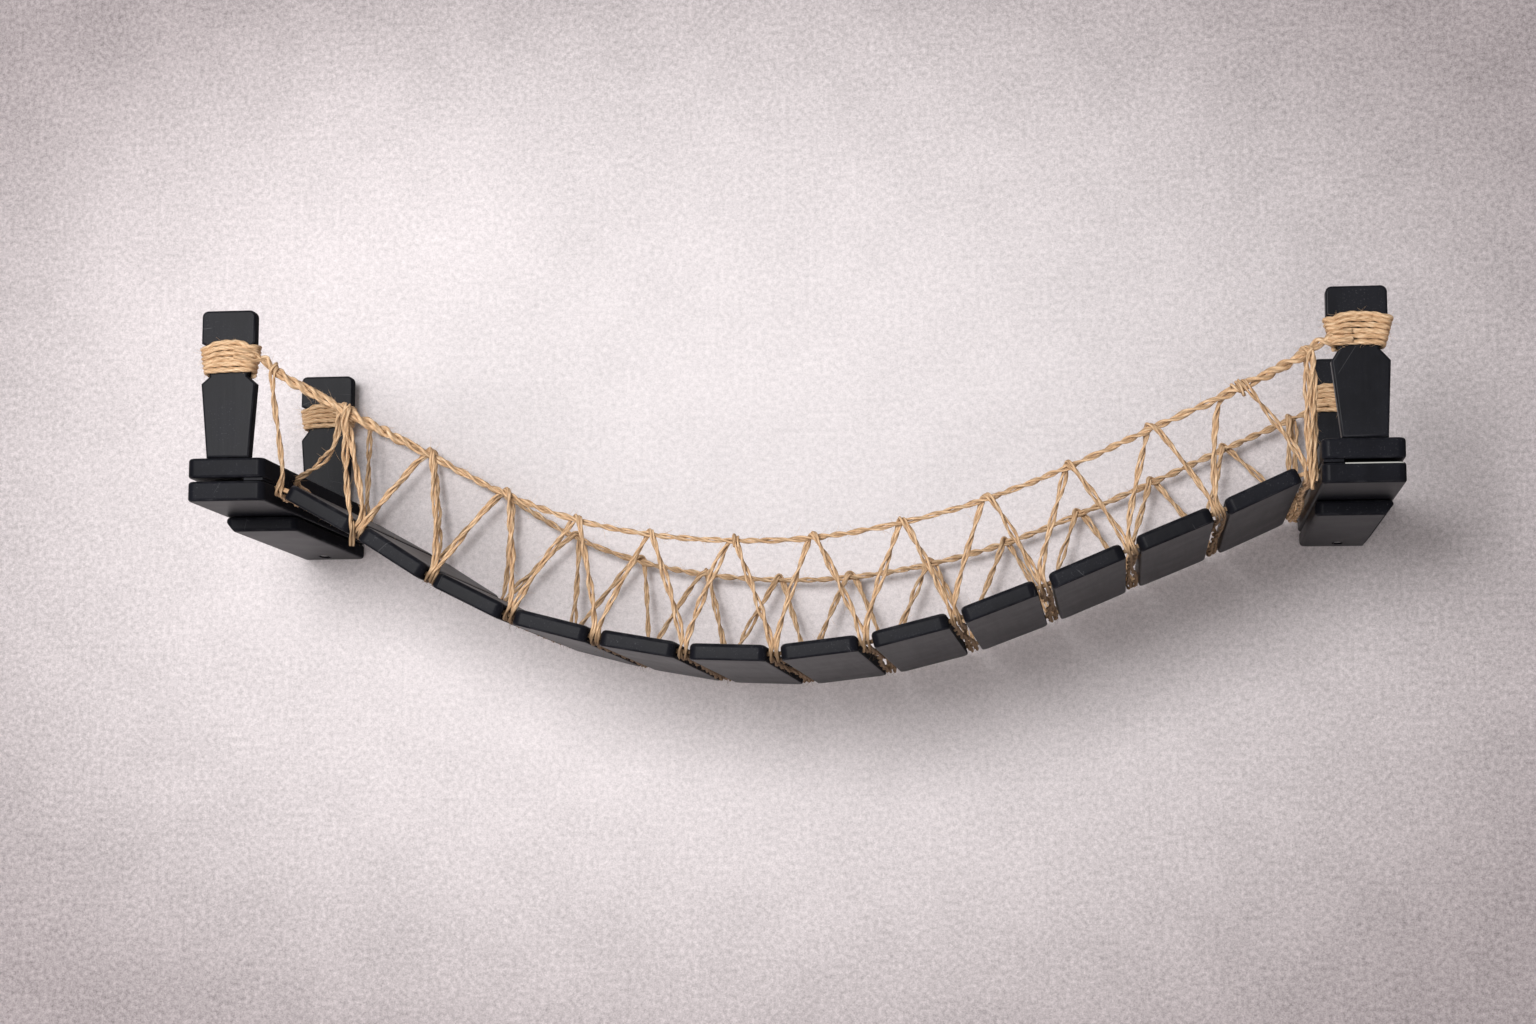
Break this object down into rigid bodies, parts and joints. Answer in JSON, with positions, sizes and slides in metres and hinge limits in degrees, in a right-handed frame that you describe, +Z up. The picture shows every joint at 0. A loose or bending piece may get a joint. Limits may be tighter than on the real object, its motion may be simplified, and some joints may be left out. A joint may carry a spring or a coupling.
{
  "type": "cat wall bridge",
  "caption": "Hanging rope bridge for cats between wall platforms: black wooden slats that rock on cords, posts with rope windings and laced jute sides.",
  "frame": {"origin": "middle of the left wall bracket's back face, on the wall", "axes": "+X along the wall from the left platform to the right one, +Y into the wall, +Z up"},
  "size_m": [0.8641, 0.2877, 0.2554],
  "materials": {
    "platform_paint": "satin black paint with eased edges",
    "post_paint": "satin black paint, lightly scuffed",
    "slat_paint": "satin black paint with eased edges",
    "jute_winding": "two-ply jute twine, wound tight",
    "jute_lacing": "two-ply jute twine",
    "jute_handrail": "twisted jute rope",
    "jute_cord": "jute cord inside the slats",
    "zinc_steel": "zinc plated",
    "beech": "bare turned wood"
  },
  "bodies": {
    "frame": {"left_top_board": "platform_paint", "left_lower_board": "platform_paint", "left_spacer": "platform_paint", "left_support_block": "platform_paint", "left_wall_bracket": "zinc_steel", "left_locking_screw": "zinc_steel", "left_front_post": "post_paint", "left_back_post": "post_paint", "left_front_winding": "jute_winding", "left_back_winding": "jute_winding", "left_post_screw_1": "zinc_steel", "left_post_screw_2": "zinc_steel", "left_post_screw_3": "zinc_steel", "left_post_screw_4": "zinc_steel", "left_block_screw_1": "zinc_steel", "left_block_screw_2": "zinc_steel", "left_board_dowel_1": "beech", "left_board_dowel_2": "beech", "right_top_board": "platform_paint", "right_lower_board": "platform_paint", "right_spacer": "platform_paint", "right_support_block": "platform_paint", "right_wall_bracket": "zinc_steel", "right_locking_screw": "zinc_steel", "right_front_post": "post_paint", "right_back_post": "post_paint", "right_front_winding": "jute_winding", "right_back_winding": "jute_winding", "right_post_screw_1": "zinc_steel", "right_post_screw_2": "zinc_steel", "right_post_screw_3": "zinc_steel", "right_post_screw_4": "zinc_steel", "right_block_screw_1": "zinc_steel", "right_block_screw_2": "zinc_steel", "right_board_dowel_1": "beech", "right_board_dowel_2": "beech", "front_deck_cord": "jute_cord", "back_deck_cord": "jute_cord", "front_handrail": "jute_handrail", "back_handrail": "jute_handrail", "first_lacing": "jute_lacing", "second_lacing": "jute_lacing"},
    "slat_01": {"slat_01": "slat_paint"},
    "slat_02": {"slat_02": "slat_paint"},
    "slat_03": {"slat_03": "slat_paint"},
    "slat_04": {"slat_04": "slat_paint"},
    "slat_05": {"slat_05": "slat_paint"},
    "slat_06": {"slat_06": "slat_paint"},
    "slat_07": {"slat_07": "slat_paint"},
    "slat_08": {"slat_08": "slat_paint"},
    "slat_09": {"slat_09": "slat_paint"},
    "slat_10": {"slat_10": "slat_paint"},
    "slat_11": {"slat_11": "slat_paint"},
    "slat_12": {"slat_12": "slat_paint"}
  },
  "joints": [
    {"name": "slat_01_rock", "type": "hinge", "parent": "frame", "child": "slat_01", "pos_m": [0.06395, -0.1425, -0.00574], "axis": [0, 1, 0], "range_deg": [-4, 4], "stiffness_Nm_per_rad": 0.2},
    {"name": "slat_02_rock", "type": "hinge", "parent": "frame", "child": "slat_02", "pos_m": [0.11897, -0.1425, -0.03842], "axis": [0, 1, 0], "range_deg": [-4, 4], "stiffness_Nm_per_rad": 0.2},
    {"name": "slat_03_rock", "type": "hinge", "parent": "frame", "child": "slat_03", "pos_m": [0.17485, -0.1425, -0.06999], "axis": [0, 1, 0], "range_deg": [-4, 4], "stiffness_Nm_per_rad": 0.2},
    {"name": "slat_04_rock", "type": "hinge", "parent": "frame", "child": "slat_04", "pos_m": [0.235, -0.1425, -0.09244], "axis": [0, 1, 0], "range_deg": [-4, 4], "stiffness_Nm_per_rad": 0.2},
    {"name": "slat_05_rock", "type": "hinge", "parent": "frame", "child": "slat_05", "pos_m": [0.29824, -0.1425, -0.10612], "axis": [0, 1, 0], "range_deg": [-4, 4], "stiffness_Nm_per_rad": 0.2},
    {"name": "slat_06_rock", "type": "hinge", "parent": "frame", "child": "slat_06", "pos_m": [0.36274, -0.1425, -0.11286], "axis": [0, 1, 0], "range_deg": [-4, 4], "stiffness_Nm_per_rad": 0.2},
    {"name": "slat_07_rock", "type": "hinge", "parent": "frame", "child": "slat_07", "pos_m": [0.42777, -0.1425, -0.11026], "axis": [0, 1, 0], "range_deg": [-4, 4], "stiffness_Nm_per_rad": 0.2},
    {"name": "slat_08_rock", "type": "hinge", "parent": "frame", "child": "slat_08", "pos_m": [0.49207, -0.1425, -0.09859], "axis": [0, 1, 0], "range_deg": [-4, 4], "stiffness_Nm_per_rad": 0.2},
    {"name": "slat_09_rock", "type": "hinge", "parent": "frame", "child": "slat_09", "pos_m": [0.55473, -0.1425, -0.07909], "axis": [0, 1, 0], "range_deg": [-4, 4], "stiffness_Nm_per_rad": 0.2},
    {"name": "slat_10_rock", "type": "hinge", "parent": "frame", "child": "slat_10", "pos_m": [0.61607, -0.1425, -0.05488], "axis": [0, 1, 0], "range_deg": [-4, 4], "stiffness_Nm_per_rad": 0.2},
    {"name": "slat_11_rock", "type": "hinge", "parent": "frame", "child": "slat_11", "pos_m": [0.67732, -0.1425, -0.02977], "axis": [0, 1, 0], "range_deg": [-4, 4], "stiffness_Nm_per_rad": 0.2},
    {"name": "slat_12_rock", "type": "hinge", "parent": "frame", "child": "slat_12", "pos_m": [0.73845, -0.1425, -0.00378], "axis": [0, 1, 0], "range_deg": [-4, 4], "stiffness_Nm_per_rad": 0.2}
  ]
}
